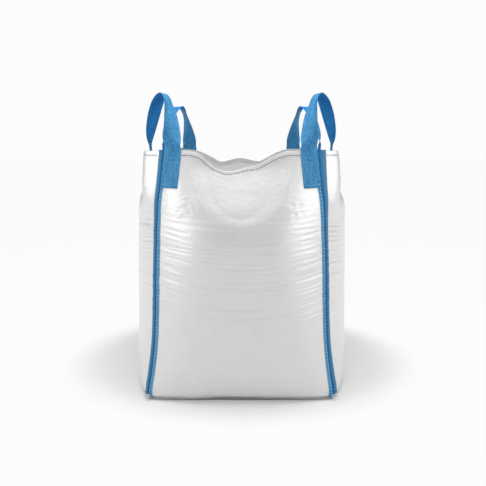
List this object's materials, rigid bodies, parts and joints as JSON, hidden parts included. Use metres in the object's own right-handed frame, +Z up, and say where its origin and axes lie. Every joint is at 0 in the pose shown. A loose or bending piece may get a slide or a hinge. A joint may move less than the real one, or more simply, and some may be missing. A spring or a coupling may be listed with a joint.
{
  "type": "bulk bag",
  "caption": "Open-topped woven bulk bag with webbing lifting loops at its corners, taped corner seams and a flat base, standing in its filled shape.",
  "frame": {"origin": "middle of the base, on the floor", "axes": "+Z up, the front panel towards -Y, +X to the right seen from the front"},
  "size_m": [1.128, 1.12, 1.4415],
  "materials": {
    "woven_fabric": "white woven polypropylene, coated, soft satin",
    "base_seam": "folded and overlocked fabric edge, matte",
    "stitching": "dark blue and white multifilament thread, matte",
    "seam_tape": "blue woven polypropylene tape, ribbed, matte",
    "webbing": "blue heavy polypropylene webbing, ribbed along its length, satin"
  },
  "bodies": {
    "bag": {"front_panel": "woven_fabric", "right_panel": "woven_fabric", "back_panel": "woven_fabric", "left_panel": "woven_fabric", "base_panel": "woven_fabric", "front_base_seam": "base_seam", "right_base_seam": "base_seam", "back_base_seam": "base_seam", "left_base_seam": "base_seam", "front_hem_stitch": "stitching", "right_hem_stitch": "stitching", "back_hem_stitch": "stitching", "left_hem_stitch": "stitching", "front_right_seam_tape": "seam_tape", "back_right_seam_tape": "seam_tape", "back_left_seam_tape": "seam_tape", "front_left_seam_tape": "seam_tape", "front_right_loop_facing_leg": "webbing", "front_right_loop_facing_leg_stitch": "stitching", "front_right_loop_side_leg": "webbing", "front_right_loop_side_leg_stitch": "stitching", "back_right_loop_facing_leg": "webbing", "back_right_loop_facing_leg_stitch": "stitching", "back_right_loop_side_leg": "webbing", "back_right_loop_side_leg_stitch": "stitching", "back_left_loop_facing_leg": "webbing", "back_left_loop_facing_leg_stitch": "stitching", "back_left_loop_side_leg": "webbing", "back_left_loop_side_leg_stitch": "stitching", "front_left_loop_facing_leg": "webbing", "front_left_loop_facing_leg_stitch": "stitching", "front_left_loop_side_leg": "webbing", "front_left_loop_side_leg_stitch": "stitching"},
    "front_right_loop_body": {"front_right_loop": "webbing"},
    "back_right_loop_body": {"back_right_loop": "webbing"},
    "back_left_loop_body": {"back_left_loop": "webbing"},
    "front_left_loop_body": {"front_left_loop": "webbing"}
  },
  "joints": [
    {"name": "front_right_loop_fold", "type": "hinge", "parent": "bag", "child": "front_right_loop_body", "pos_m": [0.38178, -0.28729, 1.237], "axis": [0.5979, 0.8016, 0], "range_deg": [-100, 100]},
    {"name": "back_right_loop_fold", "type": "hinge", "parent": "bag", "child": "back_right_loop_body", "pos_m": [0.38187, 0.28754, 1.237], "axis": [-0.5963, 0.8027, 0], "range_deg": [-100, 100]},
    {"name": "back_left_loop_fold", "type": "hinge", "parent": "bag", "child": "back_left_loop_body", "pos_m": [-0.38204, 0.28796, 1.237], "axis": [-0.5936, -0.8048, 0], "range_deg": [-100, 100]},
    {"name": "front_left_loop_fold", "type": "hinge", "parent": "bag", "child": "front_left_loop_body", "pos_m": [-0.38178, -0.28729, 1.237], "axis": [0.5979, -0.8016, 0], "range_deg": [-100, 100]}
  ]
}
